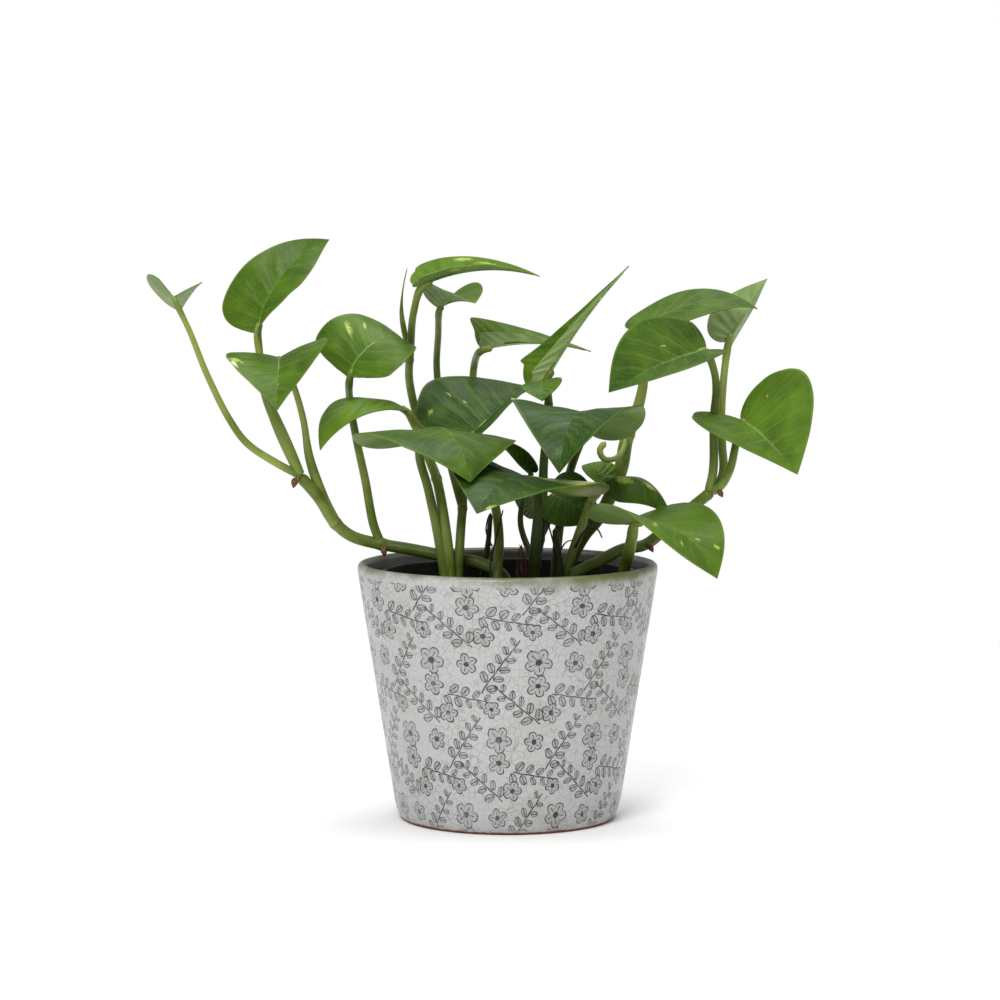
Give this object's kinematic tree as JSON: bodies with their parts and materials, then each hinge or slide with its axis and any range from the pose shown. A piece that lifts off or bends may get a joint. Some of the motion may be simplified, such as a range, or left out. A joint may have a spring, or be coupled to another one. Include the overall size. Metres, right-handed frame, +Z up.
{
  "type": "potted golden pothos",
  "caption": "Golden pothos house plant with heart-shaped leaves on long stalks, growing in soil in a nursery pot inside a tapered, printed ceramic pot.",
  "frame": {"origin": "centre of the pot's flat foot, on the surface it stands on", "axes": "+Z up, -Y towards the front, which the camera faces, +X to the right as seen from the front"},
  "size_m": [0.3094, 0.1402, 0.2707],
  "materials": {
    "glazed_pot": "crackle glaze over a grey botanical print",
    "nursery_plastic": "matt black",
    "peat": "crumbly, damp",
    "leaf": "waxy green, flecked with yellow"
  },
  "bodies": {
    "root": {"pot": "glazed_pot", "grow_pot": "nursery_plastic", "soil": "peat", "vine_left": "leaf", "vine_right": "leaf", "shoot_left": "leaf", "shoot_back": "leaf", "shoot_center": "leaf", "shoot_dark": "leaf", "shoot_right": "leaf", "shoot_front": "leaf", "spur": "leaf"}
  },
  "joints": []
}
